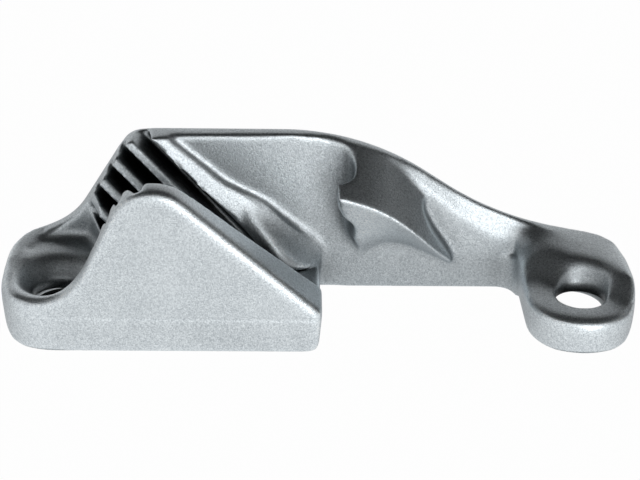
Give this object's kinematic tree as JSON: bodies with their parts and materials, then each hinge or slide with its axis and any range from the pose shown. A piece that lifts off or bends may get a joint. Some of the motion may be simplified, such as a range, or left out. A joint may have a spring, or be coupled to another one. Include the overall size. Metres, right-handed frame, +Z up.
{
  "type": "side entry jam cleat",
  "caption": "Cast side-entry jam cleat: toothed V groove between two jaws, a hook over the entry gap, and a raised back wall joining two countersunk lugs.",
  "frame": {"origin": "midway between the two fastening holes, on the mounting plane", "axes": "+X along the cleat towards the load, +Y towards the back wall, +Z up off the deck"},
  "size_m": [0.0812, 0.0201, 0.0229],
  "materials": {
    "cast_aluminium": "satin, fine tumbled grain"
  },
  "bodies": {
    "root": {"cleat_body": "cast_aluminium"}
  },
  "joints": []
}
